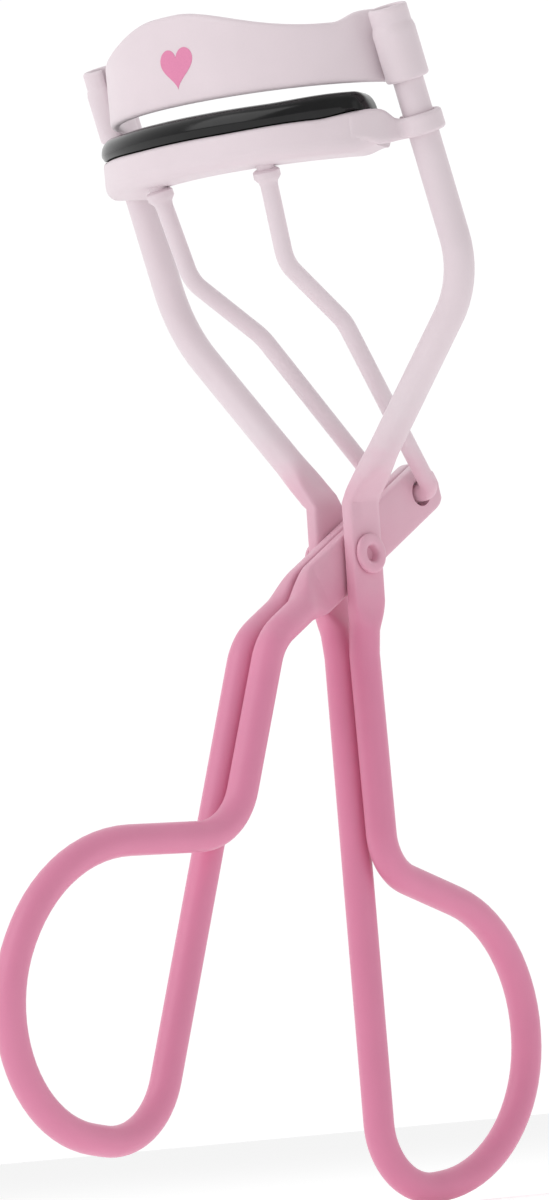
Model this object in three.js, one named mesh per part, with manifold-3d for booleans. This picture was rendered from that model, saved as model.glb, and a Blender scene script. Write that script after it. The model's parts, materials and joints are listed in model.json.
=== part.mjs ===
// Eyelash curler: a bent wire frame and a wire lever on one rivet, a push rod, and two curved jaws.
//
// Millimetres. +X runs along the rivet, -Y is the bulging front of the jaws, and +Z points from the finger
// loops up to the jaws. The lever's finger loop is on the -Y side and the frame's own finger loop is on the
// +Y side. Every piece is drawn with the middle of the pivot's axis at zero, and the finished assembly is
// moved so that the origin is the middle of its box.

import * as THREE from "three";
import { mergeVertices } from "three/addons/utils/BufferGeometryUtils.js";
import Module from "manifold-3d";

// ---------------------------------------------------------------- driving dimensions

const WIRE_RADIUS = 1.3; // steel wire of the frame and of the lever, with its coating
const WIRE_SPREAD = 1.42; // the two wires of a handle run this far to each side of the middle plane

const ARM_SPREAD = 16.5; // the arms stand this far to each side
const ARM_KNEE_Z = 21.5; // where an arm bends out of the converging part
const ARM_LEAN = THREE.MathUtils.degToRad(17); // above the knee the arms lean forward, towards -Y
const ARM_LENGTH = 23.4; // from the knee to the arm's upper end
const KNEE_RADIUS = 9;

const LEVER_PLATE_THICKNESS = 1.2; // the lever's two flattened ends lie side by side in the frame
const LEVER_PLATE_WIDTH = 4.4;
const LEVER_PLATE_GAP = 0.08; // between the two flattened ends
const EAR_THICKNESS = 1.4; // the frame's flattened ears, one outside each lever plate
const EAR_WIDTH = 3.7;
const EAR_GAP = 0.1; // running clearance between an ear and a lever plate
const EAR_TOP = 4.4; // the ears are flat from here
const EAR_BOTTOM = -3.9; // to here

const LEVER_TILT = THREE.MathUtils.degToRad(30.5); // the lever's plates climb towards +Y, jaws nearly closed
const LEVER_HOLE_DISTANCE = 10.5; // from the pivot to the push rod's hole
const LEVER_HOLE_RADIUS = 1.15; // the rod has play in it
const LEVER_END = 2.5; // metal beyond the centre of that hole
const LEVER_ELBOW = 13.7; // from the pivot to the bend where the handle begins
const HANDLE_TILT = THREE.MathUtils.degToRad(22.3); // the lever's handle, away from straight down

const ROD_RADIUS = 0.75;
const ROD_LEG_SPREAD = 2.42; // where the legs stand beside the lever's plates
const ROD_FOOT_SPREAD = 6.2; // where the legs reach the lower jaw
const ROD_HOLE_CLEARANCE = 0.08; // where the legs pass up through the lower jaw's floor
const ROD_SHOULDER_RADIUS = 1.1;
const ROD_SHOULDER_HEIGHT = 0.9;
const SHOULDER_GAP = 0.3; // between a shoulder and the jaw's underside

const RIVET_RADIUS = 1.05;
const RIVET_HEAD_RADIUS = 1.7;
const RIVET_HEAD_THICKNESS = 0.5;
const RIVET_DIMPLE_RADIUS = 0.75;
const RIVET_DIMPLE_DEPTH = 1.2;
const PIVOT_HOLE_RADIUS = 1.1;

const JAW_HALF_WIDTH = 16.0; // the jaws are half an ellipse seen from above
const JAW_DEPTH = 11.4;
const JAW_BACK_Y = -4.8; // the line between the ends of that half ellipse
const SHEET = 0.85; // thickness of both jaws' sheet steel

const UPPER_EDGE_Z = 38.15; // the edge that presses on the pad
const UPPER_INSET = 0.9; // the upper jaw stands this far inside the lower jaw's outline
const UPPER_END_ANGLE = THREE.MathUtils.degToRad(87); // where the plate runs into the roll round the arm
const UPPER_CREST_Z = 45.8;
const UPPER_DIP_Z = 43.3;
const UPPER_CREST_MIDDLE = -1.4; // the crest stands a little to one side
const UPPER_CREST_REACH = 1.3; // it is flat this far to each side of its middle
const UPPER_DIP_REACH = 14.4; // and falls this far from its middle
const UPPER_SHOULDER_FROM = 13.0;
const UPPER_SHOULDER_Z = 44.4;
const UPPER_SHOULDER_X = 15.1;
const KNUCKLE_RADIUS = 1.9; // the upper jaw's ends are rolled round the arms
const KNUCKLE_BORE = 1.36;
const KNUCKLE_FROM = 17.4; // along the arm, from its knee
const KNUCKLE_STEP = 21.8; // above this the roll is cut back
const KNUCKLE_TO = 23.7;
const KNUCKLE_UPPER_RADIUS = 1.75;
const KNUCKLE_SEAM = 0.3; // gap where the roll's free edge meets the plate

const LOWER_TOP_Z = 35.2;
const LOWER_BOTTOM_Z = 32.2;
const LOWER_REAR_TOP_Z = 35.6;
const CHANNEL_WIDTH = 4.8; // outside, from the front wall to the rear wall
const CHANNEL_CORNER = 0.7; // bevel along both lower edges
const CHANNEL_END_ANGLE = THREE.MathUtils.degToRad(71);
const CHANNEL_SLANT = 0.45; // how far the channel's ends lean from straight back to square across
const STRAP_END_ANGLE = THREE.MathUtils.degToRad(86);
const EYE_RADIUS = 2.0; // the eye round each arm, on which the lower jaw slides
const EYE_BORE = 1.42;
const EYE_HEIGHT = 1.9;
const EYE_MIDDLE = 13.5; // along the arm, from its knee

const PAD_TOP_Z = 37.25;
const PAD_CLEARANCE = 0.12;
const PAD_END_ANGLE = THREE.MathUtils.degToRad(70);

// The four bends of a finger loop, from its neck round to its heel: y across the handle, z along it from
// the pivot's height, and the bend's radius.
const FRAME_LOOP = [
  { y: -0.3, z: -26.6, radius: 4.2 },
  { y: 17.0, z: -32.4, radius: 12.5 },
  { y: 17.5, z: -52.8, radius: 12.0 },
  { y: -0.95, z: -54.0, radius: 5.7 },
];
const LEVER_LOOP = [
  { y: -8.3, z: -28.3, radius: 6 },
  { y: -27.5, z: -36.1, radius: 14.9 },
  { y: -30.6, z: -60.5, radius: 11.0 },
  { y: -8.1, z: -55.4, radius: 7.4 },
];

// ---------------------------------------------------------------- solids and lofts

const wasm = await Module();
wasm.setup();

const X_AXIS = new THREE.Vector3(1, 0, 0);
const ARM_DIRECTION = new THREE.Vector3(0, -Math.sin(ARM_LEAN), Math.cos(ARM_LEAN));

function solidOf(geometry) {
  const bare = geometry.clone();
  bare.deleteAttribute("normal");
  bare.deleteAttribute("uv");
  const merged = mergeVertices(bare, 1e-4);
  return new wasm.Manifold(
    new wasm.Mesh({
      numProp: 3,
      vertProperties: new Float32Array(merged.attributes.position.array),
      triVerts: new Uint32Array(merged.index.array),
    }),
  );
}

function geometryOf(solid) {
  const mesh = solid.getMesh();
  const geometry = new THREE.BufferGeometry();
  geometry.setAttribute("position", new THREE.BufferAttribute(mesh.vertProperties, 3));
  geometry.setIndex(new THREE.BufferAttribute(mesh.triVerts, 1));
  geometry.computeVertexNormals();
  return geometry;
}

// A closed body through rings of equal length; contour is the ring's flat outline, for the two end faces.
function loft(rings, contour) {
  const count = rings[0].length;
  const positions = rings.flat().flatMap((p) => [p.x, p.y, p.z]);
  const faces = [];
  for (let i = 0; i + 1 < rings.length; i++) {
    for (let j = 0; j < count; j++) {
      const a = i * count + j;
      const b = i * count + ((j + 1) % count);
      faces.push(a, b, b + count, a, b + count, a + count);
    }
  }
  const last = (rings.length - 1) * count;
  for (const [a, b, c] of THREE.ShapeUtils.triangulateShape(contour, [])) {
    faces.push(c, b, a, last + a, last + b, last + c);
  }
  const geometry = new THREE.BufferGeometry();
  geometry.setAttribute("position", new THREE.Float32BufferAttribute(positions, 3));
  geometry.setIndex(faces);
  return geometry;
}

// The rotation that carries +Y, a three.js cylinder's axis, to a direction.
function turnFromY(direction) {
  return new THREE.Quaternion().setFromUnitVectors(new THREE.Vector3(0, 1, 0), direction);
}

// ---------------------------------------------------------------- bent wire

// A section is round with power 2, and goes towards a rounded rectangle with a higher power.
const ROUND = { side: WIRE_RADIUS, across: WIRE_RADIUS, power: 2 };

function sectionOutline({ side, across, power }, sides) {
  const outline = [];
  for (let i = 0; i < sides; i++) {
    const angle = (2 * Math.PI * (i + 0.5)) / sides;
    const c = Math.cos(angle);
    const s = Math.sin(angle);
    const x = side * Math.sign(c) * Math.abs(c) ** (2 / power);
    const y = across * Math.sign(s) * Math.abs(s) ** (2 / power);
    outline.push(new THREE.Vector2(x, y));
  }
  return outline;
}

// Turns the corners of a bent wire into stations: a corner with a radius becomes an arc.
function bend(corners, step) {
  const stations = [];
  corners.forEach(({ at, radius = 0, section = ROUND }, i) => {
    if (!radius) {
      stations.push({ at, section });
      return;
    }
    const back = corners[i - 1].at.clone().sub(at).normalize();
    const ahead = corners[i + 1].at.clone().sub(at).normalize();
    const turn = Math.PI - back.angleTo(ahead);
    const reach = radius * Math.tan(turn / 2);
    const middle = back.clone().add(ahead).normalize();
    const centre = middle.multiplyScalar(radius / Math.cos(turn / 2)).add(at);
    const from = at.clone().addScaledVector(back, reach).sub(centre);
    const axis = new THREE.Vector3().crossVectors(ahead, back).normalize();
    const pieces = Math.max(2, Math.ceil(turn / step));
    for (let k = 0; k <= pieces; k++) {
      const swung = from.clone().applyAxisAngle(axis, (turn * k) / pieces);
      stations.push({ at: swung.add(centre), section });
    }
  });
  return stations;
}

// A solid wire through the stations. A section's side lies along the reference direction.
function wire(stations, reference, sides) {
  const rings = stations.map(({ at, section }, i) => {
    const before = stations[Math.max(i - 1, 0)].at;
    const after = stations[Math.min(i + 1, stations.length - 1)].at;
    const along = after.clone().sub(before).normalize();
    const side = reference.clone().addScaledVector(along, -reference.dot(along)).normalize();
    const across = new THREE.Vector3().crossVectors(along, side);
    return sectionOutline(section, sides).map((p) =>
      at.clone().addScaledVector(side, p.x).addScaledVector(across, p.y),
    );
  });
  return loft(rings, sectionOutline(stations[0].section, sides));
}

// A cylinder along X, to cut the pivot and push rod holes.
function crossPin(radius, halfLength, y, z) {
  const geometry = new THREE.CylinderGeometry(radius, radius, 2 * halfLength, 24);
  geometry.rotateZ(Math.PI / 2);
  geometry.translate(0, y, z);
  return solidOf(geometry);
}

// The corners of a finger loop, from the front wire down, round and back up the rear wire. On the way
// round, the wire passes over from the +X side of the middle plane to the -X side.
function fingerLoop(bends) {
  const across = [1, 0.45, -0.35, -1];
  return bends.map(({ y, z, radius }, i) => ({
    at: new THREE.Vector3(across[i] * WIRE_SPREAD, y, z),
    radius,
  }));
}

function mirrored(corners) {
  return corners.map((c) => ({ ...c, at: new THREE.Vector3(-c.at.x, c.at.y, c.at.z) })).reverse();
}

// ---------------------------------------------------------------- frame

const EAR_X = LEVER_PLATE_GAP / 2 + LEVER_PLATE_THICKNESS + EAR_GAP + EAR_THICKNESS / 2;
const EAR_SECTION = { side: EAR_THICKNESS / 2, across: EAR_WIDTH / 2, power: 5 };
const ARM_STEP = 0.2; // radians of bend between stations

// One side of the frame from the arm's upper end down to the top of the straight handle wire.
function frameSide() {
  const knee = new THREE.Vector3(ARM_SPREAD, 0, ARM_KNEE_Z);
  const straightTop = new THREE.Vector3(WIRE_SPREAD, -0.3, EAR_BOTTOM - 4.5);
  return [
    { at: knee.clone().addScaledVector(ARM_DIRECTION, ARM_LENGTH) },
    { at: knee, radius: KNEE_RADIUS },
    { at: new THREE.Vector3(EAR_X + 2.3, 0.1, EAR_TOP + 3.2) },
    { at: new THREE.Vector3(EAR_X + 0.35, 0.2, EAR_TOP + 0.9), section: EAR_SECTION },
    { at: new THREE.Vector3(EAR_X, 0.25, EAR_TOP), section: EAR_SECTION },
    { at: new THREE.Vector3(EAR_X, -0.1, EAR_BOTTOM), section: EAR_SECTION },
    { at: new THREE.Vector3((EAR_X + WIRE_SPREAD) / 2, -0.25, EAR_BOTTOM - 2.5) },
    { at: straightTop },
  ];
}

function frameWire() {
  const side = frameSide();
  const corners = [...side, ...fingerLoop(FRAME_LOOP), ...mirrored(side)];
  const body = solidOf(wire(bend(corners, ARM_STEP), X_AXIS, 12));
  const hole = crossPin(PIVOT_HOLE_RADIUS, 2 * EAR_X, 0, 0);
  return geometryOf(body.subtract(hole));
}

// ---------------------------------------------------------------- lever

const PLATE_X = LEVER_PLATE_GAP / 2 + LEVER_PLATE_THICKNESS / 2;
const PLATE_SECTION = { side: LEVER_PLATE_THICKNESS / 2, across: LEVER_PLATE_WIDTH / 2, power: 6 };
const PLATE_DIRECTION = new THREE.Vector3(0, Math.cos(LEVER_TILT), Math.sin(LEVER_TILT));
const LEVER_HOLE = PLATE_DIRECTION.clone().multiplyScalar(LEVER_HOLE_DISTANCE);

function leverSide() {
  const along = (distance, x, section) => ({
    at: PLATE_DIRECTION.clone().multiplyScalar(distance).add(new THREE.Vector3(x, 0, 0)),
    section,
  });
  const tip = { ...PLATE_SECTION, across: 0.5 * PLATE_SECTION.across };
  const end = LEVER_HOLE_DISTANCE + LEVER_END;
  return [
    along(end, PLATE_X, tip),
    along(end - 0.6, PLATE_X, { ...PLATE_SECTION, across: 0.8 * PLATE_SECTION.across }),
    along(end - 1.6, PLATE_X, PLATE_SECTION),
    along(-5.4, PLATE_X, PLATE_SECTION),
    along(-9.2, WIRE_SPREAD, ROUND),
    { ...along(-LEVER_ELBOW, WIRE_SPREAD, ROUND), radius: 5 },
  ];
}

function leverWire() {
  const side = leverSide();
  const loop = fingerLoop(LEVER_LOOP);
  loop.forEach(({ at }) => at.applyAxisAngle(X_AXIS, -HANDLE_TILT));
  const corners = [...side, ...loop, ...mirrored(side)];
  const body = solidOf(wire(bend(corners, ARM_STEP), X_AXIS, 12));
  const pivot = crossPin(PIVOT_HOLE_RADIUS, 2 * EAR_X, 0, 0);
  const rodHole = crossPin(LEVER_HOLE_RADIUS, 2 * EAR_X, LEVER_HOLE.y, LEVER_HOLE.z);
  return geometryOf(body.subtract(pivot).subtract(rodHole));
}

// ---------------------------------------------------------------- rivet

// A tubular rivet: both heads have a small dimple where the tube was set.
function pivotRivet() {
  const inner = EAR_X + EAR_THICKNESS / 2 + 0.05;
  const outer = inner + RIVET_HEAD_THICKNESS;
  const floor = outer - RIVET_DIMPLE_DEPTH;
  const profile = [
    [0, -floor],
    [RIVET_DIMPLE_RADIUS, -floor],
    [RIVET_DIMPLE_RADIUS, -outer],
    [RIVET_HEAD_RADIUS - 0.2, -outer],
    [RIVET_HEAD_RADIUS, -outer + 0.2],
    [RIVET_HEAD_RADIUS, -inner],
    [RIVET_RADIUS, -inner],
  ];
  const mirror = profile.map(([r, h]) => [r, -h]).reverse();
  const points = [...profile, ...mirror].map(([r, h]) => new THREE.Vector2(r, h));
  const geometry = new THREE.LatheGeometry(points, 24);
  geometry.rotateZ(-Math.PI / 2);
  return geometryOf(solidOf(geometry));
}

// ---------------------------------------------------------------- jaws

// A cylinder round an arm's axis. Distances are measured along the arm from its knee.
function alongArm(radius, from, to, side) {
  const geometry = new THREE.CylinderGeometry(radius, radius, to - from, 24);
  geometry.translate(0, (from + to) / 2, 0);
  geometry.applyQuaternion(turnFromY(ARM_DIRECTION));
  geometry.translate(side * ARM_SPREAD, 0, ARM_KNEE_Z);
  return solidOf(geometry);
}

// A point of the jaws' half ellipse: angle 0 is its middle, and inset is measured along a direction.
function jawPoint(angle, inset, z, inward) {
  const x = JAW_HALF_WIDTH * Math.sin(angle);
  const y = JAW_BACK_Y - JAW_DEPTH * Math.cos(angle);
  return new THREE.Vector3(x, y, z).addScaledVector(inward(angle), inset);
}

function squareInward(angle) {
  return new THREE.Vector3(-Math.sin(angle) / JAW_HALF_WIDTH, Math.cos(angle) / JAW_DEPTH, 0).normalize();
}

function slantedInward(angle) {
  return new THREE.Vector3(-CHANNEL_SLANT * Math.sin(angle), 1, 0).normalize();
}

// A strip along the jaws' outline whose section at each angle is a list of [inset, z].
function jawStrip(sectionAt, endAngle, steps, inward) {
  const rings = [];
  for (let i = 0; i <= steps; i++) {
    const angle = endAngle * ((2 * i) / steps - 1);
    rings.push(sectionAt(angle).map(([inset, z]) => jawPoint(angle, inset, z, inward)));
  }
  const contour = sectionAt(-endAngle).map(([inset, z]) => new THREE.Vector2(inset, z));
  return loft(rings, contour);
}

function smooth(value, from, to) {
  return THREE.MathUtils.smoothstep(value, from, to);
}

// The upper jaw's upper edge: a hump in the middle, a dip near each end, and a raised shoulder.
function upperEdge(x) {
  const fromCrest = Math.abs(x - UPPER_CREST_MIDDLE);
  const fall = (UPPER_CREST_Z - UPPER_DIP_Z) * smooth(fromCrest, UPPER_CREST_REACH, UPPER_DIP_REACH);
  const rise = (UPPER_SHOULDER_Z - UPPER_DIP_Z) * smooth(Math.abs(x), UPPER_SHOULDER_FROM, UPPER_SHOULDER_X);
  return UPPER_CREST_Z - fall + rise;
}

function upperSection(angle) {
  const top = upperEdge(jawPoint(angle, UPPER_INSET, 0, squareInward).x);
  return [
    [UPPER_INSET, UPPER_EDGE_Z],
    [UPPER_INSET + SHEET, UPPER_EDGE_Z],
    [UPPER_INSET + SHEET, top],
    [UPPER_INSET, top],
  ];
}

// The roll round an arm.
function knuckle(side) {
  const lower = alongArm(KNUCKLE_RADIUS, KNUCKLE_FROM, KNUCKLE_STEP, side);
  const upper = alongArm(KNUCKLE_UPPER_RADIUS, KNUCKLE_STEP - 0.1, KNUCKLE_TO, side);
  return lower.add(upper);
}

// The rolls are open along the front, where each one's free edge stops just short of the plate.
function upperJaw() {
  let body = solidOf(jawStrip(upperSection, UPPER_END_ANGLE, 40, squareInward));
  for (const side of [-1, 1]) body = body.add(knuckle(side));
  for (const side of [-1, 1]) {
    const bore = alongArm(KNUCKLE_BORE, KNUCKLE_FROM - 1, KNUCKLE_TO + 2, side);
    const seam = new THREE.BoxGeometry(KNUCKLE_SEAM, 1.6, KNUCKLE_TO);
    seam.translate(-side * 0.55, -KNUCKLE_BORE - 0.7, KNUCKLE_TO);
    seam.rotateX(ARM_LEAN);
    seam.translate(side * ARM_SPREAD, 0, ARM_KNEE_Z);
    body = body.subtract(bore).subtract(solidOf(seam));
  }
  return geometryOf(body);
}

function channelSection() {
  const rear = CHANNEL_WIDTH;
  const floor = LOWER_BOTTOM_Z + SHEET;
  return [
    [0, LOWER_BOTTOM_Z + CHANNEL_CORNER],
    [CHANNEL_CORNER, LOWER_BOTTOM_Z],
    [rear - CHANNEL_CORNER, LOWER_BOTTOM_Z],
    [rear, LOWER_BOTTOM_Z + CHANNEL_CORNER],
    [rear, LOWER_REAR_TOP_Z],
    [rear - SHEET, LOWER_REAR_TOP_Z],
    [rear - SHEET, floor],
    [SHEET, floor],
    [SHEET, LOWER_TOP_Z],
    [0, LOWER_TOP_Z],
  ];
}

// The front wall narrows to a strap that reaches the eye round the arm.
function strapSection(angle) {
  const away = smooth(Math.abs(angle), CHANNEL_END_ANGLE - 0.1, STRAP_END_ANGLE);
  const low = LOWER_BOTTOM_Z + CHANNEL_CORNER + 0.3 * away;
  const high = LOWER_TOP_Z - 0.2 * away;
  return [
    [0, low],
    [SHEET, low],
    [SHEET, high],
    [0, high],
  ];
}

function lowerJaw() {
  const channel = solidOf(jawStrip(channelSection, CHANNEL_END_ANGLE, 32, slantedInward));
  const strap = solidOf(jawStrip(strapSection, STRAP_END_ANGLE, 40, slantedInward));
  let body = channel.add(strap);
  for (const side of [-1, 1]) {
    const from = EYE_MIDDLE - EYE_HEIGHT / 2;
    const to = EYE_MIDDLE + EYE_HEIGHT / 2;
    body = body.add(alongArm(EYE_RADIUS, from, to, side));
  }
  for (const side of [-1, 1]) {
    body = body.subtract(alongArm(EYE_BORE, EYE_MIDDLE - 4, EYE_MIDDLE + 4, side));
    body = body.subtract(rodPin(ROD_RADIUS + ROD_HOLE_CLEARANCE, side));
  }
  return geometryOf(body);
}

function padSection() {
  const front = SHEET + PAD_CLEARANCE;
  const rear = CHANNEL_WIDTH - SHEET - PAD_CLEARANCE;
  const foot = LOWER_BOTTOM_Z + SHEET + PAD_CLEARANCE;
  const lip = LOWER_TOP_Z + PAD_CLEARANCE;
  return [
    [front, foot],
    [rear, foot],
    [rear, PAD_TOP_Z - 1.1],
    [3.5, PAD_TOP_Z - 0.5],
    [2.6, PAD_TOP_Z - 0.05],
    [1.6, PAD_TOP_Z],
    [0.7, PAD_TOP_Z - 0.2],
    [0.1, PAD_TOP_Z - 0.65],
    [-0.1, lip + 0.6],
    [0.15, lip],
    [front, lip],
  ];
}

function curlingPad() {
  let body = solidOf(jawStrip(padSection, PAD_END_ANGLE, 32, slantedInward));
  for (const side of [-1, 1]) body = body.subtract(rodPin(ROD_RADIUS + 0.5, side));
  return geometryOf(body);
}

// ---------------------------------------------------------------- push rod

const ROD_ROUND = { side: ROD_RADIUS, across: ROD_RADIUS, power: 2 };
const ROD_FOOT_Z = LOWER_BOTTOM_Z;
const ROD_FOOT_Y = -12.3;
const ROD_LEG = [
  new THREE.Vector3(ROD_FOOT_SPREAD, ROD_FOOT_Y, ROD_FOOT_Z),
  new THREE.Vector3(5.45, -10.0, 24.2),
  new THREE.Vector3(4.75, -2.6, 19.4),
  new THREE.Vector3(ROD_LEG_SPREAD, LEVER_HOLE.y, LEVER_HOLE.z),
];
const ROD_UP = ROD_LEG[0].clone().sub(ROD_LEG[1]).normalize();

// A cylinder round the upper end of a leg. Distances are measured along the leg from the jaw's underside.
function alongLeg(radius, from, to, side) {
  const geometry = new THREE.CylinderGeometry(radius, radius, to - from, 16);
  geometry.translate(0, (from + to) / 2, 0);
  geometry.applyQuaternion(turnFromY(new THREE.Vector3(side * ROD_UP.x, ROD_UP.y, ROD_UP.z)));
  geometry.translate(side * ROD_LEG[0].x, ROD_LEG[0].y, ROD_LEG[0].z);
  return solidOf(geometry);
}

// The hole for a leg, through the lower jaw's floor and up into the pad.
function rodPin(radius, side) {
  return alongLeg(radius, -1.5, 1.5, side);
}

// The shoulder pressed into a leg just below the lower jaw's floor.
function rodShoulder(side) {
  return alongLeg(ROD_SHOULDER_RADIUS, -SHOULDER_GAP - ROD_SHOULDER_HEIGHT, -SHOULDER_GAP, side);
}

function pushRod() {
  const tipReach = SHEET + 0.25;
  const leg = [
    { at: ROD_LEG[0].clone().addScaledVector(ROD_UP, tipReach), section: ROD_ROUND },
    { at: ROD_LEG[1], radius: 3, section: ROD_ROUND },
    { at: ROD_LEG[2], radius: 5, section: ROD_ROUND },
    { at: ROD_LEG[3], radius: 1.0, section: ROD_ROUND },
  ];
  const corners = [...leg, ...mirrored(leg)];
  const downLeg = ROD_LEG[3].clone().sub(ROD_LEG[2]);
  const reference = new THREE.Vector3().crossVectors(X_AXIS, downLeg).normalize();
  let body = solidOf(wire(bend(corners, 0.3), reference, 10));
  for (const side of [-1, 1]) body = body.add(rodShoulder(side));
  return geometryOf(body);
}

// ---------------------------------------------------------------- the assembly

const COATED_PALE = new THREE.MeshStandardMaterial({ color: 0xe9dade, roughness: 0.45, metalness: 0 });
const COATED_FRAME = new THREE.MeshStandardMaterial({ color: 0xdf94b4, roughness: 0.45, metalness: 0 });
const COATED_LEVER = new THREE.MeshStandardMaterial({ color: 0xd7799f, roughness: 0.45, metalness: 0 });
const COATED_ROD = new THREE.MeshStandardMaterial({ color: 0xdfc3cc, roughness: 0.45, metalness: 0 });
const COATED_RIVET = new THREE.MeshStandardMaterial({ color: 0xe3a9c0, roughness: 0.4, metalness: 0 });
const BLACK_SILICONE = new THREE.MeshStandardMaterial({ color: 0x141414, roughness: 0.25, metalness: 0 });

const curler = new THREE.Group();
const part = new THREE.Group().add(curler);

function piece(name, geometry, material) {
  const mesh = new THREE.Mesh(geometry, material.clone());
  mesh.name = name;
  curler.add(mesh);
}

piece("frame_wire", frameWire(), COATED_FRAME);
piece("lever_wire", leverWire(), COATED_LEVER);
piece("push_rod", pushRod(), COATED_ROD);
piece("pivot_rivet", pivotRivet(), COATED_RIVET);
piece("upper_jaw", upperJaw(), COATED_PALE);
piece("lower_jaw", lowerJaw(), COATED_PALE);
piece("curling_pad", curlingPad(), BLACK_SILICONE);

const boxCentre = new THREE.Box3().setFromObject(curler).getCenter(new THREE.Vector3());
curler.position.copy(boxCentre).negate();

export default part;
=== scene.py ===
"""The looks of the eyelash curler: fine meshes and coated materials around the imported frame."""

import json
import math

import bmesh
import bpy
from mathutils import Matrix, Vector


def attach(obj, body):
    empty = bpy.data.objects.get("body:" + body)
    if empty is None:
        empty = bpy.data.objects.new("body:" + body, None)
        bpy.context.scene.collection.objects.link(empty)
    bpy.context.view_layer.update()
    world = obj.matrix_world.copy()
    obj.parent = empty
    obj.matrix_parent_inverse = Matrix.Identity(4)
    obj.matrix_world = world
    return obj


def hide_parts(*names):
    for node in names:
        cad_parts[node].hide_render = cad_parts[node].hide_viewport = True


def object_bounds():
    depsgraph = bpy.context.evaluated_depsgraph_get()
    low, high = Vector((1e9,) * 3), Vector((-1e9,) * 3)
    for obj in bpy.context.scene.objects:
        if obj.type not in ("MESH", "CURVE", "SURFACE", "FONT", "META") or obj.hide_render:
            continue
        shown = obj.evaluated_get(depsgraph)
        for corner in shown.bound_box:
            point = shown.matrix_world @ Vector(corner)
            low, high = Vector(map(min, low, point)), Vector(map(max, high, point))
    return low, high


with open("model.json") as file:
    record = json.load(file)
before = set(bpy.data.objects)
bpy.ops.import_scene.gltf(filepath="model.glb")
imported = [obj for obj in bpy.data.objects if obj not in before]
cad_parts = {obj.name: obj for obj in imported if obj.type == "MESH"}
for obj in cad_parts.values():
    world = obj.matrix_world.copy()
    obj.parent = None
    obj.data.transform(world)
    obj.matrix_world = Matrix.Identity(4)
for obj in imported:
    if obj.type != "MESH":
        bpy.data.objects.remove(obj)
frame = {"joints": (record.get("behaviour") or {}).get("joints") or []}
CAD_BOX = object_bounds()

# ---------------------------------------------------------------- sizes
# Millimetres and degrees, measured from the middle of the pivot's axis. PIVOT puts them in the frame.

PIVOT = Vector(next(j["pos_m"] for j in frame["joints"] if j["name"] == "lever_hinge"))
MM = 0.001

WIRE_RADIUS = 1.3
WIRE_SPREAD = 1.42  # each handle's two wires run this far to each side

ARM_SPREAD = 16.5
ARM_KNEE = Vector((ARM_SPREAD, 0, 21.5))
ARM_LEAN = math.radians(17)
ARM_LENGTH = 21.6  # from the knee to the arm's upper end, inside the roll
ARM_UP = Vector((0, -math.sin(ARM_LEAN), math.cos(ARM_LEAN)))
ARM_BACK = Vector((0, math.cos(ARM_LEAN), math.sin(ARM_LEAN)))  # square to the arm, away from the front

EAR_X = 2.04  # middle of the frame's flattened ears
PLATE_X = 0.64  # middle of the lever's flattened ends
LEVER_TILT = math.radians(30.5)
LEVER_UP = Vector((0, math.cos(LEVER_TILT), math.sin(LEVER_TILT)))
LEVER_HOLE = LEVER_UP * 10.5
LEVER_HOLE_RADIUS = 1.15
LEVER_END = 13.0  # from the pivot to the tip beyond that hole
LEVER_NOSE = 1.7  # length of the rounded end
LEVER_ELBOW = 13.7
HANDLE_TILT = math.radians(22.3)
PIVOT_HOLE_RADIUS = 1.1

FRAME_LOOP = [(-0.3, -26.6, 4.2), (17.0, -32.4, 12.5), (17.5, -52.8, 12.0), (-0.95, -54.0, 5.7)]
LEVER_LOOP = [(-8.3, -28.3, 6.0), (-27.5, -36.1, 14.9), (-30.6, -60.5, 11.0), (-8.1, -55.4, 7.4)]

ROD_RADIUS = 0.75
ROD_LEG = [
    Vector((6.2, -12.3, 32.2)),
    Vector((5.45, -10.0, 24.2)),
    Vector((4.75, -2.6, 19.4)),
    Vector((2.42, LEVER_HOLE.y, LEVER_HOLE.z)),
]

JAW_HALF_WIDTH = 16.0  # the jaws are half an ellipse seen from above
JAW_DEPTH = 11.4
JAW_BACK_Y = -4.8
SHEET = 0.85
JAW_STEPS = 96  # along a jaw
ROLL_STEPS = 44  # round an arm, for the upper jaw's roll
STRAP_STEPS = 24  # from the lower jaw's wall to the arm
EYE_STEPS = 40  # round an arm, for the lower jaw's eye
PAD_CAP_STEPS = 8

UPPER_INSET = 0.9
UPPER_EDGE_Z = 38.15
UPPER_END = math.radians(82.5)
CREST_X = -1.4  # the hump of the upper edge stands to one side
CREST_Z = 45.8
CREST_REACH = 1.2
DIP_DEPTH = 2.5
DIP_REACH = 14.4
SHOULDER_HEIGHT = 1.05
SHOULDER_FROM = 13.4
SHOULDER_TO = 15.2
ROLL_FROM = 17.4  # along the arm, from its knee
ROLL_STEP = 21.9  # where the roll narrows, over ROLL_STEP_REACH to each side
ROLL_STEP_REACH = 0.25
ROLL_TO = 23.7
ROLL_SHEET = 0.52
ROLL_RADIUS = 1.61  # middle of the sheet, round the arm's axis
ROLL_UPPER_RADIUS = 1.44
ROLL_ANGLE = math.radians(312)  # how far the sheet goes round the arm, from the arm's inner side

CHANNEL_WIDTH = 4.8
CHANNEL_SLANT = 0.45
CHANNEL_END = math.radians(70.5)
CHANNEL_RISE = 0.6  # how far the underside and the front wall's top each rise at the ends
CHANNEL_RISE_FROM = math.radians(60)
LOWER_BOTTOM_Z = 32.2
LOWER_TOP_Z = 35.0
LOWER_REAR_TOP_Z = 35.65
EYE_MIDDLE = 13.6  # along the arm, from its knee
EYE_HEIGHT = 1.75
EYE_SHEET = 0.6
EYE_RADIUS = 1.66  # middle of the strap, round the arm's axis
EYE_ANGLE = math.radians(285)
STRAP_START = math.radians(60)  # round the jaw, where the strap begins inside the front wall
STRAP_LEAVE = 0.5  # up to this share of its way the strap lies in the front wall
STRAP_PAST_END = 0.04  # radians past the channel's end, where it leaves the wall

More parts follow.
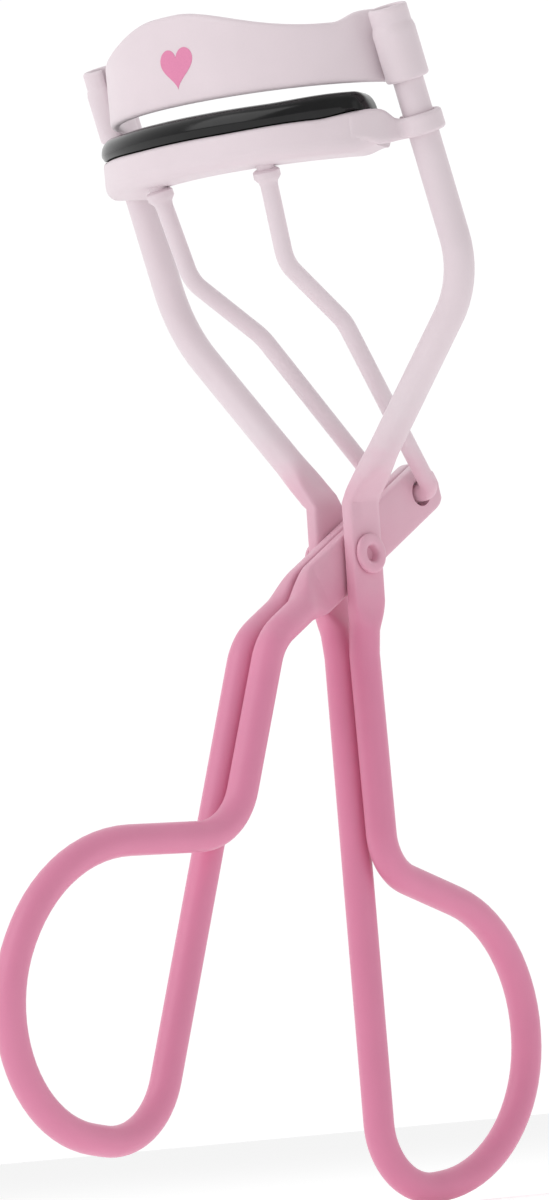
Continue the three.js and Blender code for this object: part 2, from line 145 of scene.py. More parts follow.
PAD_END = math.radians(63)
PAD_CAP = math.radians(7)  # the rounded end beyond PAD_END
PAD_TOP_Z = 37.1
PAD_MIDDLE = (2.1, LOWER_TOP_Z - 0.2)  # (inset, z) that the rounded ends shrink towards

MARK_Z = 41.5
MARK_WIDTH = 3.8

# ---------------------------------------------------------------- mesh tools


def place(point):
    """A point in millimetres from the pivot, in the frame's metres."""
    return PIVOT + Vector(point) * MM


def new_mesh(name, verts, faces):
    """A mesh of points in millimetres from the pivot, with its faces turned outwards."""
    mesh = bpy.data.meshes.new(name)
    mesh.from_pydata([place(v) for v in verts], [], faces)
    bm = bmesh.new()
    bm.from_mesh(mesh)
    bmesh.ops.recalc_face_normals(bm, faces=bm.faces)
    bm.to_mesh(mesh)
    bm.free()
    return mesh


def new_object(name, data):
    """An object for some data, in the scene."""
    thing = bpy.data.objects.new(name, data)
    bpy.context.scene.collection.objects.link(thing)
    return thing


def add_piece(name, verts, faces, material, body, nodes):
    """Makes a smooth shaded mesh piece that rides on a body and stands for the CAD nodes."""
    mesh = new_mesh(name, verts, faces)
    piece = new_object(name, mesh)
    mesh.materials.append(material)
    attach(piece, body)
    if nodes:
        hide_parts(*nodes)
    shade(mesh)
    return piece


def shade(mesh, sharp_angle=math.radians(38)):
    """Smooth shading, with the edges that turn more than an angle left sharp."""
    bm = bmesh.new()
    bm.from_mesh(mesh)
    for face in bm.faces:
        face.smooth = True
    for edge in bm.edges:
        edge.smooth = edge.calc_face_angle(0) < sharp_angle
    bm.to_mesh(mesh)
    bm.free()


def loft(rings):
    """Vertices and faces of a closed body through rings of equal length."""
    count = len(rings[0])
    verts = [point for ring in rings for point in ring]
    faces = []
    for i in range(len(rings) - 1):
        for j in range(count):
            k = (j + 1) % count
            faces.append((i * count + j, i * count + k, (i + 1) * count + k, (i + 1) * count + j))
    last = (len(rings) - 1) * count
    faces.append(tuple(reversed(range(count))))
    faces.append(tuple(range(last, last + count)))
    return verts, faces


def combine(piece, operation, verts, faces):
    """Cuts a closed body out of a piece (DIFFERENCE), or joins it to the piece (UNION)."""
    tool = new_object("tool", new_mesh("tool", verts, faces))
    modifier = piece.modifiers.new("combine", "BOOLEAN")
    modifier.operation = operation
    modifier.solver = "EXACT"
    modifier.object = tool
    bpy.context.view_layer.update()
    graph = bpy.context.evaluated_depsgraph_get()
    result = bpy.data.meshes.new_from_object(piece.evaluated_get(graph))
    piece.modifiers.clear()
    bpy.data.objects.remove(tool)
    result.name = piece.name
    piece.data = result
    shade(result)


def smooth(value, start, end):
    """0 up to start, 1 from end, and a smooth step between them."""
    t = min(max((value - start) / (end - start), 0), 1)
    return t * t * (3 - 2 * t)


def mix(a, b, t):
    return a + (b - a) * t


# ---------------------------------------------------------------- bent wire

# A section is (half width along X, half width across, squareness): 2 is round, and more is squarer.
ROUND = (WIRE_RADIUS, WIRE_RADIUS, 2)
EAR = (0.7, 1.85, 5)
PLATE = (0.6, 2.2, 6)
ROD = (ROD_RADIUS, ROD_RADIUS, 2)
BEND_STEP = math.radians(5)
STATION_GAP = 0.45  # between stations where the section changes


def corner(point, radius=0.0, section=ROUND):
    return Vector(point), radius, section


def bend(corners):
    """Turns a bent wire's corners into stations (point, section), with an arc at each rounded corner."""
    stations = []
    for i, (at, radius, section) in enumerate(corners):
        if radius == 0:
            stations.append((at, section))
            continue
        back = (corners[i - 1][0] - at).normalized()
        ahead = (corners[i + 1][0] - at).normalized()
        turn = math.pi - back.angle(ahead)
        reach = radius * math.tan(turn / 2)
        centre = at + (back + ahead).normalized() * radius / math.cos(turn / 2)
        start = at + back * reach - centre
        axis = ahead.cross(back).normalized()
        pieces = max(3, math.ceil(turn / BEND_STEP))
        for k in range(pieces + 1):
            stations.append((centre + Matrix.Rotation(turn * k / pieces, 3, axis) @ start, section))
    return refine(stations)


def refine(stations):
    """Adds stations where the section changes, so that it changes smoothly along the wire."""
    fine = [stations[0]]
    for (a, first), (b, second) in zip(stations, stations[1:]):
        pieces = 1 if first == second else max(2, math.ceil((b - a).length / STATION_GAP))
        for k in range(1, pieces + 1):
            t = k / pieces
            ease = smooth(t, 0, 1)
            section = tuple(mix(u, v, ease) for u, v in zip(first, second))
            fine.append((a.lerp(b, t), section))
    return fine


def outline(section, sides):
    """The points of a section as (along X, across)."""
    half_x, half_across, squareness = section
    points = []
    for i in range(sides):
        angle = 2 * math.pi * i / sides
        c, s = math.cos(angle), math.sin(angle)
        points.append((
            half_x * math.copysign(abs(c) ** (2 / squareness), c),
            half_across * math.copysign(abs(s) ** (2 / squareness), s),
        ))
    return points


def wire(stations, reference=Vector((1, 0, 0)), sides=32):
    """A closed wire through the stations, with slightly rounded ends."""
    rings = []
    last = len(stations) - 1
    for i, (at, section) in enumerate(stations):
        along = (stations[min(i + 1, last)][0] - stations[max(i - 1, 0)][0]).normalized()
        side = (reference - along * reference.dot(along)).normalized()
        across = along.cross(side)
        rings.append([at + side * x + across * y for x, y in outline(section, sides)])
        if i in (0, last):
            end = rings.pop()
            rounded = [at + along * (-1 if i == 0 else 1) * 0.1 + (p - at) * 0.9 for p in end]
            rings.extend([rounded, end] if i == 0 else [end, rounded])
    return loft(rings)


def circle(x, radius, sides, y=0, z=0):
    """The points of a circle square to X."""
    angles = [2 * math.pi * i / sides for i in range(sides)]
    return [Vector((x, y + radius * math.cos(a), z + radius * math.sin(a))) for a in angles]


def cross_pin(radius, y, z, half_length=6, sides=48):
    """A cylinder along X, to cut a hole."""
    return loft([circle(x, radius, sides, y, z) for x in (-half_length, half_length)])


def mirrored(corners):
    """The same corners on the other side of the middle plane, in reverse order."""
    return [(Vector((-p.x, p.y, p.z)), radius, section) for p, radius, section in reversed(corners)]


def finger_loop(bends, tilt=0.0):
    """A finger loop's corners. The wire passes from the +X side to the -X side on the way round."""
    corners = []
    turn = Matrix.Rotation(-tilt, 3, "X")
    for share, (y, z, radius) in zip((1, 0.45, -0.35, -1), bends):
        corners.append(corner(turn @ Vector((share * WIRE_SPREAD, y, z)), radius))
    return corners


# ---------------------------------------------------------------- frame and lever


def arm_point(distance, side=1):
    """A point on an arm's axis, a distance from its knee."""
    return Vector((side * ARM_KNEE.x, ARM_KNEE.y, ARM_KNEE.z)) + ARM_UP * distance


def make_frame_wire(material):
    side = [
        corner(arm_point(ARM_LENGTH)),
        corner(ARM_KNEE, 9.5),
        corner((5.6, 0.1, 8.8)),
        corner((EAR_X + 0.5, 0.2, 5.2), 0, EAR),
        corner((EAR_X, 0.25, 4.4), 0, EAR),
        corner((EAR_X, -0.1, -3.9), 0, EAR),
        corner((EAR_X - 0.4, -0.25, -6.4)),
        corner((WIRE_SPREAD, -0.3, -8.4)),
    ]
    stations = bend([*side, *finger_loop(FRAME_LOOP), *mirrored(side)])
    verts, faces = wire(stations)
    piece = add_piece("frame_wire_body", verts, faces, material, "frame", ["frame_wire"])
    combine(piece, "DIFFERENCE", *cross_pin(PIVOT_HOLE_RADIUS, 0, 0))


def make_lever_wire(material):
    def along(distance, x, section, radius=0.0):
        return corner(LEVER_UP * distance + Vector((x, 0, 0)), radius, section)

    half_x, half_across, squareness = PLATE
    side = []
    for k in range(7):
        share = math.sin(math.pi / 2 * k / 6)
        width = mix(0.35, 1, (1 - (1 - share) ** 2.5) ** (1 / 2.5))
        thick = mix(0.8, 1, min(share * 3, 1))
        section = (half_x * thick, half_across * width, squareness)
        side.append(along(LEVER_END - LEVER_NOSE * share, PLATE_X, section))
    side += [
        along(-5.2, PLATE_X, PLATE),
        along(-9.2, WIRE_SPREAD, ROUND),
        along(-LEVER_ELBOW, WIRE_SPREAD, ROUND, 5.5),
    ]
    stations = bend([*side, *finger_loop(LEVER_LOOP, HANDLE_TILT), *mirrored(side)])
    verts, faces = wire(stations)
    piece = add_piece("lever_wire_body", verts, faces, material, "lever", ["lever_wire"])
    combine(piece, "DIFFERENCE", *cross_pin(PIVOT_HOLE_RADIUS, 0, 0))
    combine(piece, "DIFFERENCE", *cross_pin(LEVER_HOLE_RADIUS, LEVER_HOLE.y, LEVER_HOLE.z))


# ---------------------------------------------------------------- push rod and rivet


def make_push_rod(material):
    up = (ROD_LEG[0] - ROD_LEG[1]).normalized()
    # distance along the leg from the jaw's underside, and the leg's radius there
    profile = [(1.05, 0.62), (0.95, 0.75), (-0.2, 0.75), (-0.3, 1.0), (-0.45, 1.15), (-0.95, 1.15),
               (-1.15, 1.0), (-1.35, 0.82), (-1.7, 0.75)]
    leg = [corner(ROD_LEG[0] + up * d, 0, (r, r, 2)) for d, r in profile]
    leg += [
        corner(ROD_LEG[1], 3.0, ROD),
        corner(ROD_LEG[2], 5.0, ROD),
        corner(ROD_LEG[3], 1.05, ROD),
    ]
    stations = bend([*leg, *mirrored(leg)])
    reference = Vector((1, 0, 0)).cross(ROD_LEG[3] - ROD_LEG[2]).normalized()
    verts, faces = wire(stations, reference, sides=24)
    add_piece("push_rod_body", verts, faces, material, "lower_jaw", ["push_rod"])


def make_rivet(material, sides=64):
    """A tubular rivet, turned about X: each head has a rounded rim and a dimple."""
    half = [
        (2.0, 1.05), (2.74, 1.05), (2.79, 1.12), (2.79, 1.6), (2.86, 1.68), (3.0, 1.7), (3.14, 1.66),
        (3.24, 1.54), (3.29, 1.36), (3.29, 1.0), (3.25, 0.84), (3.12, 0.72), (2.85, 0.66), (2.55, 0.6),
        (2.5, 0.3),
    ]
    profile = [(-x, r) for x, r in reversed(half)] + half
    verts, faces = loft([circle(x, r, sides) for x, r in profile])
    add_piece("pivot_rivet_body", verts, faces, material, "frame", ["pivot_rivet"])


# ---------------------------------------------------------------- jaws


def jaw_point(angle, inset, z):
    """A point of the half ellipse, with the inset measured square to the outline."""
    point = Vector((JAW_HALF_WIDTH * math.sin(angle), JAW_BACK_Y - JAW_DEPTH * math.cos(angle), z))
    inward = Vector((-math.sin(angle) / JAW_HALF_WIDTH, math.cos(angle) / JAW_DEPTH, 0)).normalized()
    return point + inward * inset


def channel_point(angle, inset, z):
    """A point of the half ellipse, with the inset measured the way the channel's ends slant."""
    point = Vector((JAW_HALF_WIDTH * math.sin(angle), JAW_BACK_Y - JAW_DEPTH * math.cos(angle), z))
    return point + Vector((-CHANNEL_SLANT * math.sin(angle), 1, 0)).normalized() * inset


def sheet_rings(surface, path, rows, thickness):
    """Rings round a bent sheet with rounded edges.

    surface(s, h) is a point of the sheet's middle, with h from 0 to 1, and thickness(s) is how thick the
    sheet is there. The first and last rings are thinner, which rounds the ends of the path.
    """
    arc = [math.radians(a) for a in (-60, -30, 0, 30, 60)]
    step = 1e-3
    rings = []
    for index, s in enumerate(path):
        edge = thickness(s) / 2
        low, high = surface(s, 0), surface(s, 1)
        height = (high - low).length
        inset = edge / height
        ring = []
        thin = 0.6 if index in (0, len(path) - 1) else 1.0
        spots = [(mix(inset, 1 - inset, k / rows), 1) for k in range(rows + 1)]
        spots += [(1 - inset + inset * math.cos(a), -math.sin(a)) for a in arc]
        spots += [(mix(1 - inset, inset, k / rows), -1) for k in range(rows + 1)]
        spots += [(inset - inset * math.cos(a), math.sin(a)) for a in arc]
        for h, lift in spots:
            ahead = surface(s + step, h) - surface(s - step, h)
            up = surface(s, min(h + step, 1)) - surface(s, max(h - step, 0))
            normal = ahead.cross(up).normalized()
            ring.append(surface(s, h) + normal * lift * edge * thin)
        rings.append(ring)
    return rings


def upper_edge(x):
    """The upper jaw's upper edge: a hump, a dip near each end, and a raised shoulder."""
    hump = CREST_Z - DIP_DEPTH * smooth(abs(x - CREST_X), CREST_REACH, DIP_REACH)
    return hump + SHOULDER_HEIGHT * smooth(abs(x), SHOULDER_FROM, SHOULDER_TO)


def roll_radius(distance):
    """The roll's radius at a distance along the arm, smaller above its step."""
    narrowed = smooth(distance, ROLL_STEP - ROLL_STEP_REACH, ROLL_STEP + ROLL_STEP_REACH)
    return mix(ROLL_RADIUS, ROLL_UPPER_RADIUS, narrowed)


def upper_surface(s, h):
    """The middle of the upper jaw's sheet: s is -1 to 1 along the plate, and beyond that round an arm."""
    side = math.copysign(1, s)
    if abs(s) > 1:
        turn = (abs(s) - 1) * ROLL_ANGLE
        distance = mix(ROLL_FROM, ROLL_TO, h)
        around = Vector((-side * math.cos(turn), 0, 0)) + ARM_BACK * math.sin(turn)
        return arm_point(distance, side) + around * roll_radius(distance)
    near_end = smooth(abs(s), 0.9, 1)
    top = upper_edge(jaw_point(s * UPPER_END, UPPER_INSET, 0).x)
    low = mix(UPPER_EDGE_Z, arm_point(ROLL_FROM).z, near_end)
    z = mix(low, mix(top, arm_point(ROLL_TO).z, near_end), h)
    distance = (z - ARM_KNEE.z) / ARM_UP.z
    arm_y = arm_point(distance).y
    inset = UPPER_INSET + SHEET / 2
    end_angle = math.acos((JAW_BACK_Y - arm_y) / (JAW_DEPTH - inset))
    point = jaw_point(s * end_angle, inset, z)
    meeting = Vector((side * (ARM_SPREAD - roll_radius(distance)), arm_y, z))
    return point.lerp(meeting, near_end)


def upper_thickness(s):
    """The plate's sheet, drawn thinner where it is rolled."""
    return mix(SHEET, ROLL_SHEET, smooth(abs(s), 0.94, 1.03))


def make_upper_jaw(material):
    plate = [-1 + 2 * k / JAW_STEPS for k in range(JAW_STEPS + 1)]
    roll = [1 + k / ROLL_STEPS for k in range(1, ROLL_STEPS + 1)]
    path = [-s for s in reversed(roll)] + plate + roll
    verts, faces = loft(sheet_rings(upper_surface, path, 22, upper_thickness))
    add_piece("upper_jaw_body", verts, faces, material, "frame", ["upper_jaw"])


def rounded_corner(inset, z, radius, start, end, steps=5):
    """Points (inset, z) on an arc round a centre, between two angles in degrees."""
    points = []
    for k in range(steps + 1):
        angle = math.radians(mix(start, end, k / steps))
        points.append((inset + radius * math.cos(angle), z + radius * math.sin(angle)))
    return points


def channel_bottom(angle):
    """The lower jaw's underside, which rises a little towards its ends."""
    return LOWER_BOTTOM_Z + CHANNEL_RISE * smooth(abs(angle), CHANNEL_RISE_FROM, CHANNEL_END)


def channel_top(angle):
    """The top of the lower jaw's front wall, highest at its ends."""
    x = JAW_HALF_WIDTH * abs(math.sin(angle))
    return LOWER_TOP_Z + 0.2 * smooth(x, 4, 12) + CHANNEL_RISE * smooth(x, 12, 15.4)


def channel_section(angle):
    """The lower jaw's channel as (inset, z): front wall, floor and rear wall, with rounded bends."""
    bottom = channel_bottom(angle)
    outer, inner, lip = 1.05, 0.3, SHEET / 2
    floor = bottom + SHEET
    rear = CHANNEL_WIDTH
    front_lip = rounded_corner(lip, channel_top(angle) - lip, lip, 0, 180, 6)
    rear_top = max(LOWER_REAR_TOP_Z, channel_top(angle) + 0.1)
    rear_lip = rounded_corner(rear - lip, rear_top - lip, lip, 0, 180, 6)
    return (
        rounded_corner(outer, bottom + outer, outer, 180, 270)
        + rounded_corner(rear - outer, bottom + outer, outer, 270, 360)
        + rear_lip
        + rounded_corner(rear - SHEET - inner, floor + inner, inner, 0, -90)
        + rounded_corner(SHEET + inner, floor + inner, inner, 270, 180)
        + front_lip
    )


def strap_surface(s, h):
    """The middle of the strap from the front wall, s from 0, round the arm, s from 1 to 2."""
    side = math.copysign(1, s)
    s = abs(s)
    if s > 1:
        turn = (s - 1) * EYE_ANGLE
        distance = EYE_MIDDLE + EYE_HEIGHT * (h - 0.5)
        around = Vector((side * math.sin(turn), 0, 0)) - ARM_BACK * math.cos(turn)
        return arm_point(distance, side) + around * EYE_RADIUS
    angle = mix(STRAP_START, CHANNEL_END + STRAP_PAST_END, min(s / STRAP_LEAVE, 1))
    away = smooth(s, STRAP_LEAVE, 1)
    bottom = mix(1.0, 0.0, smooth(s, 0, STRAP_LEAVE)) + channel_bottom(angle)
    low = mix(bottom, arm_point(EYE_MIDDLE - EYE_HEIGHT / 2).z - 0.6, away)
    high = mix(channel_top(angle) - 0.03, arm_point(EYE_MIDDLE + EYE_HEIGHT / 2).z - 0.5, away)
    wall = channel_point(side * angle, SHEET / 2, mix(low, high, h))
    if s <= STRAP_LEAVE:
        return wall
    t = (s - STRAP_LEAVE) / (1 - STRAP_LEAVE)
    front = strap_surface(side * 1.00001, h)  # just past 1, where the strap goes round the arm
    tangent = Vector((side * math.cos(angle) * JAW_HALF_WIDTH, math.sin(angle) * JAW_DEPTH, 0)).normalized()
    reach = 0.5 * (front - wall).length
    ahead = wall + tangent * reach
    behind = front - Vector((side, 0, 0)) * reach
    return (wall * (1 - t) ** 3 + ahead * 3 * t * (1 - t) ** 2
            + behind * 3 * t * t * (1 - t) + front * t ** 3)


def strap_thickness(s):
    """The strap starts almost as thick as the wall it grows from."""
    return mix(SHEET * 0.96, EYE_SHEET, smooth(abs(s), STRAP_LEAVE, 1))


def make_lower_jaw(material):
    angles = [CHANNEL_END * (2 * k / JAW_STEPS - 1) for k in range(JAW_STEPS + 1)]
    rings = [[channel_point(a, inset, z) for inset, z in channel_section(a)] for a in angles]
    verts, faces = loft(rings)
    piece = add_piece("lower_jaw_body", verts, faces, material, "lower_jaw", ["lower_jaw"])
    for side in (-1, 1):
        path = [side * (k / STRAP_STEPS + 0.001) for k in range(STRAP_STEPS + 1)]
        path += [side * (1 + k / EYE_STEPS) for k in range(1, EYE_STEPS + 1)]
        combine(piece, "UNION", *loft(sheet_rings(strap_surface, path, 8, strap_thickness)))


def pad_section(angle):
    """The pad as (inset, z): a stem in the channel under a rounded bead, flattened on top."""
    gap = 0.12  # between the stem and the channel's walls
    front, rear = SHEET + gap, CHANNEL_WIDTH - SHEET - gap
    foot = channel_bottom(angle) + SHEET + 0.15
    lip = channel_top(angle) + 0.08
    top = PAD_TOP_Z + 0.3 * smooth(JAW_HALF_WIDTH * abs(math.sin(angle)), 8, 14)
    bead = rounded_corner(3.1, top - 0.9, 0.9, 0, 90) + rounded_corner(1.3, top - 1.4, 1.4, 90, 186, 12)
    return [(front, foot), (rear, foot), (rear, lip)] + bead + [(0.15, lip), (front, lip)]


def make_pad(material):
    """The pad's ends are rounded by shrinking its last sections towards their middle."""
    middle = [(PAD_END * (2 * k / JAW_STEPS - 1), 1.0) for k in range(JAW_STEPS + 1)]
    tail = []
    for k in range(1, PAD_CAP_STEPS + 1):
        share = math.sin(math.pi / 2 * k / PAD_CAP_STEPS)
        tail.append((PAD_END + PAD_CAP * share, math.sqrt(max(1 - share ** 2, 0.02))))
    mid_inset, mid_z = PAD_MIDDLE
    rings = []
    for angle, factor in [(-a, f) for a, f in reversed(tail)] + middle + tail:
        rings.append([
            channel_point(angle, mix(mid_inset, inset, factor), mix(mid_z, z, factor if z > mid_z else 1))
            for inset, z in pad_section(angle)
        ])
    verts, faces = loft(rings)
    piece = add_piece(
        "curling_pad_body", verts, faces, material, "lower_jaw", ["curling_pad"])


def make_mark(material):
    """A plain printed heart on the front of the upper jaw, as a film that follows the plate."""
    rings = []
    steps = 64
    for shrink in [k / 10 for k in range(10, -1, -1)]:
        ring = []
        for i in range(steps):
            t = 2 * math.pi * (i + 0.5) / steps
            across = 16 * math.sin(t) ** 3 / 32
            up = (13 * math.cos(t) - 5 * math.cos(2 * t) - 2 * math.cos(3 * t) - math.cos(4 * t)) / 32
            ring.append((across * MARK_WIDTH * max(shrink, 0.01), up * MARK_WIDTH * max(shrink, 0.01)))
        rings.append(ring)
    verts = []
    for lift in (0.03, -0.05):
        for ring in rings:
            for across, up in ring:
                verts.append(jaw_point(across / JAW_HALF_WIDTH, UPPER_INSET - lift, MARK_Z + up))
    faces = []
    layer = len(rings) * steps
    for base, flip in ((0, False), (layer, True)):
        for i in range(len(rings) - 1):
            for j in range(steps):
                k = (j + 1) % steps
                quad = (base + i * steps + j, base + i * steps + k,
                        base + (i + 1) * steps + k, base + (i + 1) * steps + j)
                faces.append(tuple(reversed(quad)) if flip else quad)
        middle = tuple(base + (len(rings) - 1) * steps + j for j in range(steps))
        faces.append(tuple(reversed(middle)) if flip else middle)
    for j in range(steps):
        k = (j + 1) % steps
        faces.append((j, layer + j, layer + k, k))
    add_piece("upper_jaw_print", verts, faces, material, "frame", [])


# ---------------------------------------------------------------- materials

PALE = (0.735, 0.635, 0.675)
DEEP = (0.71, 0.235, 0.38)
FADE_FROM, FADE_TO = 10.5, -11.5  # heights between which pale turns deep
SPRAY_DRIFT = 3.0


def new_material(name):
    """A node material, its nodes, its links and its Principled shader."""
    material = bpy.data.materials.new(name)
    material.use_nodes = True
    nodes = material.node_tree.nodes
    shader = next(n for n in nodes if n.type == "BSDF_PRINCIPLED")
    return material, nodes, material.node_tree.links, shader


def position_mm(nodes, links):
    """Object position in millimetres from the pivot."""
    coordinates = nodes.new("ShaderNodeTexCoord")
    scale = nodes.new("ShaderNodeVectorMath")
    scale.operation = "MULTIPLY_ADD"
    scale.inputs[1].default_value = (1 / MM,) * 3
    scale.inputs[2].default_value = tuple(-PIVOT / MM)
    links.new(coordinates.outputs["Object"], scale.inputs[0])
    return scale.outputs[0]


def noise(nodes, links, position, scale, detail=3.0, roughness=0.55):
    node = nodes.new("ShaderNodeTexNoise")
    node.inputs["Scale"].default_value = scale
    node.inputs["Detail"].default_value = detail
    node.inputs["Roughness"].default_value = roughness
    links.new(position, node.inputs["Vector"])
    return node.outputs["Fac"]


def math_node(nodes, links, operation, a, b):
    node = nodes.new("ShaderNodeMath")
    node.operation = operation
    for socket, value in zip(node.inputs, (a, b)):
        if isinstance(value, (int, float)):
            socket.default_value = value
        else:
            links.new(value, socket)
    return node.outputs[0]


def ramp(nodes, links, factor, stops):
    """A colour ramp with (position, colour) stops."""
    node = nodes.new("ShaderNodeValToRGB")
    elements = node.color_ramp.elements
    while len(elements) < len(stops):
        elements.new(0.5)
    for element, (position, colour) in zip(elements, stops):
        element.position = position
        element.color = (*colour, 1)
    links.new(factor, node.inputs["Fac"])
    return node.outputs["Color"]


def blend_colour(a, b, t):
    return tuple(mix(u, v, t) for u, v in zip(a, b))


def coating(name, pale=PALE, deep=DEEP, roughness=0.4):
    """Satin soft-touch coating, sprayed pale above the pivot and fading to deep pink on the handles."""
    material, nodes, links, shader = new_material(name)
    position = position_mm(nodes, links)
    height = nodes.new("ShaderNodeSeparateXYZ")
    links.new(position, height.inputs[0])
    # the spray lowers each height by 0 to SPRAY_DRIFT, so the fade is a little uneven
    spray = noise(nodes, links, position, 0.45, 2.0)
    drift = math_node(nodes, links, "MULTIPLY", spray, SPRAY_DRIFT)
    level = math_node(nodes, links, "SUBTRACT", height.outputs["Z"], drift)
    share = nodes.new("ShaderNodeMapRange")
    share.inputs["From Min"].default_value = FADE_FROM
    share.inputs["From Max"].default_value = FADE_TO
    links.new(level, share.inputs["Value"])
    stops = [(0.0, 0.0), (0.14, 0.12), (0.27, 0.42), (0.5, 0.58), (0.68, 0.78), (0.86, 0.97), (1.0, 1.0)]
    fade = ramp(nodes, links, share.outputs[0], [(p, blend_colour(pale, deep, t)) for p, t in stops])
    # fine pigment speckle over a soft cloudiness
    speckle = noise(nodes, links, position, 7.0, 4.0, 0.7)
    cloud = noise(nodes, links, position, 0.18, 2.0)
    tone = math_node(nodes, links, "ADD", math_node(nodes, links, "MULTIPLY", speckle, 0.05),
                     math_node(nodes, links, "MULTIPLY", cloud, 0.10))
    value = math_node(nodes, links, "ADD", tone, 0.925)
    tint = nodes.new("ShaderNodeHueSaturation")
    links.new(fade, tint.inputs["Color"])
    links.new(value, tint.inputs["Value"])
    links.new(tint.outputs["Color"], shader.inputs["Base Color"])
    rough = nodes.new("ShaderNodeMapRange")
    rough.inputs["To Min"].default_value = roughness - 0.06
    rough.inputs["To Max"].default_value = roughness + 0.10
    links.new(noise(nodes, links, position, 1.4, 4.0, 0.65), rough.inputs["Value"])
    links.new(rough.outputs[0], shader.inputs["Roughness"])
    peel = nodes.new("ShaderNodeBump")
    peel.inputs["Strength"].default_value = 0.10
    peel.inputs["Distance"].default_value = 0.03 * MM
    links.new(noise(nodes, links, position, 3.2, 3.0, 0.6), peel.inputs["Height"])
    links.new(peel.outputs[0], shader.inputs["Normal"])
    shader.inputs["Specular IOR Level"].default_value = 0.42
    shader.inputs["Sheen Weight"].default_value = 0.12
    shader.inputs["Sheen Roughness"].default_value = 0.5
    return material


def silicone():
    """Glossy black silicone, with a faint haze of handling and moulding ripple."""
    material, nodes, links, shader = new_material("black_silicone")
    position = position_mm(nodes, links)
    haze = noise(nodes, links, position, 0.6, 4.0, 0.6)
    links.new(ramp(nodes, links, haze, [(0.3, (0.003, 0.003, 0.0032)), (0.8, (0.008, 0.008, 0.0085))]),
              shader.inputs["Base Color"])
    rough = nodes.new("ShaderNodeMapRange")
    rough.inputs["To Min"].default_value = 0.10
    rough.inputs["To Max"].default_value = 0.24
    links.new(noise(nodes, links, position, 1.1, 5.0, 0.65), rough.inputs["Value"])
    links.new(rough.outputs[0], shader.inputs["Roughness"])
    ripple = nodes.new("ShaderNodeBump")
    ripple.inputs["Strength"].default_value = 0.12
    ripple.inputs["Distance"].default_value = 0.05 * MM
    links.new(noise(nodes, links, position, 0.9, 2.0), ripple.inputs["Height"])
    links.new(ripple.outputs[0], shader.inputs["Normal"])
    shader.inputs["Specular IOR Level"].default_value = 0.32
    return material


def print_ink():
    """Pink printing ink on the coating, slightly uneven in tone."""
    material, nodes, links, shader = new_material("pink_ink")
    position = position_mm(nodes, links)
    grain = noise(nodes, links, position, 6.0, 4.0, 0.7)
    links.new(ramp(nodes, links, grain, [(0.2, (0.68, 0.20, 0.37)), (0.8, (0.76, 0.26, 0.43))]),
              shader.inputs["Base Color"])
    shader.inputs["Roughness"].default_value = 0.35
    return material


# ---------------------------------------------------------------- stage, light and camera

CAMERA_TURN = (42.483, -3.771, -5.309)  # azimuth, elevation and roll in degrees
CAMERA_AT = (458.16, -509.61, -48.2)
CAMERA_LENS = 243.79


def make_floor():
    """A white floor just under the object."""
    mesh = bpy.data.meshes.new("floor")
    half = 40.0
    z = CAD_BOX[0].z - 0.0002
    corners = [(-half, -half, z), (half, -half, z), (half, half, z), (-half, half, z)]
    mesh.from_pydata(corners, [], [(0, 1, 2, 3)])
    floor = new_object("floor", mesh)
    material, _, _, shader = new_material("floor_white")
    shader.inputs["Base Color"].default_value = (0.93, 0.93, 0.93, 1)
    shader.inputs["Emission Color"].default_value = (1, 1, 1, 1)
    shader.inputs["Emission Strength"].default_value = 0.22
    shader.inputs["Roughness"].default_value = 0.9
    shader.inputs["Specular IOR Level"].default_value = 0.0
    mesh.materials.append(material)


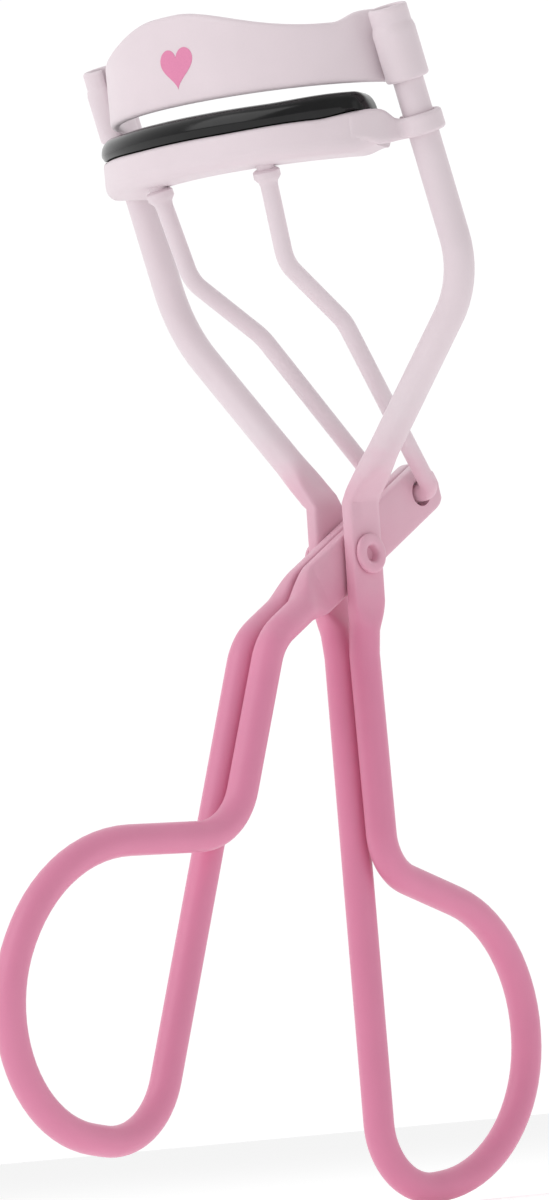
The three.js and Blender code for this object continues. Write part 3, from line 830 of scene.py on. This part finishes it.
def make_world():
    """A white surround: bright behind the object, like a lit backdrop, and dimmer on the camera's side."""
    world = bpy.data.worlds.new("studio")
    world.use_nodes = True
    bpy.context.scene.world = world
    nodes, links = world.node_tree.nodes, world.node_tree.links
    coordinates = nodes.new("ShaderNodeTexCoord")
    facing = nodes.new("ShaderNodeVectorMath")
    facing.operation = "DOT_PRODUCT"
    facing.inputs[1].default_value = (-0.67, 0.74, 0.1)  # from the camera to the backdrop
    links.new(coordinates.outputs["Generated"], facing.inputs[0])
    strength = nodes.new("ShaderNodeMapRange")
    strength.inputs["From Min"].default_value = -0.3
    strength.inputs["From Max"].default_value = 0.6
    strength.inputs["To Min"].default_value = 0.5
    strength.inputs["To Max"].default_value = 1.03
    links.new(facing.outputs["Value"], strength.inputs["Value"])
    links.new(strength.outputs[0], nodes["Background"].inputs["Strength"])
    nodes["Background"].inputs["Color"].default_value = (1, 1, 1, 1)


def add_light(name, azimuth, elevation, distance, size, size_y, power):
    """A rectangular softbox that faces the object from a direction."""
    data = bpy.data.lights.new(name, "AREA")
    data.shape = "RECTANGLE"
    data.size = size
    data.size_y = size_y
    data.energy = power
    light = new_object(name, data)
    a, e = math.radians(azimuth), math.radians(elevation)
    away = Vector((math.sin(a) * math.cos(e), -math.cos(a) * math.cos(e), math.sin(e)))
    target = (CAD_BOX[0] + CAD_BOX[1]) / 2
    light.location = target + away * distance
    light.rotation_mode = "QUATERNION"
    light.rotation_quaternion = away.to_track_quat("Z", "Y")


def make_camera():
    """The camera stands in front and to the right, a little low, and leans slightly."""
    azimuth, elevation, roll = (math.radians(d) for d in CAMERA_TURN)
    back = Vector((
        math.sin(azimuth) * math.cos(elevation),
        -math.cos(azimuth) * math.cos(elevation),
        math.sin(elevation),
    ))
    level = Vector((math.cos(azimuth), math.sin(azimuth), 0))
    upright = back.cross(level)
    right = level * math.cos(roll) + upright * math.sin(roll)
    up = back.cross(right)
    data = bpy.data.cameras.new("camera")
    data.sensor_width = 36.0
    data.lens = CAMERA_LENS
    camera = new_object("camera", data)
    turn = Matrix((right, up, back)).transposed().to_4x4()
    camera.matrix_world = Matrix.Translation(place(CAMERA_AT)) @ turn
    bpy.context.scene.camera = camera


# ---------------------------------------------------------------- everything together

bpy.context.scene.view_settings.view_transform = "Standard"

coated_frame = coating("coating_frame")
coated_lever = coating("coating_lever")
coated_jaw = coating("coating_jaws", roughness=0.42)

make_frame_wire(coated_frame)
make_lever_wire(coated_lever)
make_push_rod(coating("coating_rod", roughness=0.42))
make_rivet(coating("coating_rivet", roughness=0.36))
make_upper_jaw(coated_jaw)
make_lower_jaw(coated_jaw)
make_pad(silicone())
make_mark(print_ink())

make_floor()
make_world()
add_light("key", azimuth=-18, elevation=38, distance=0.9, size=0.6, size_y=0.9, power=3.0)
add_light("fill", azimuth=100, elevation=10, distance=1.0, size=0.5, size_y=0.9, power=0.6)
make_camera()
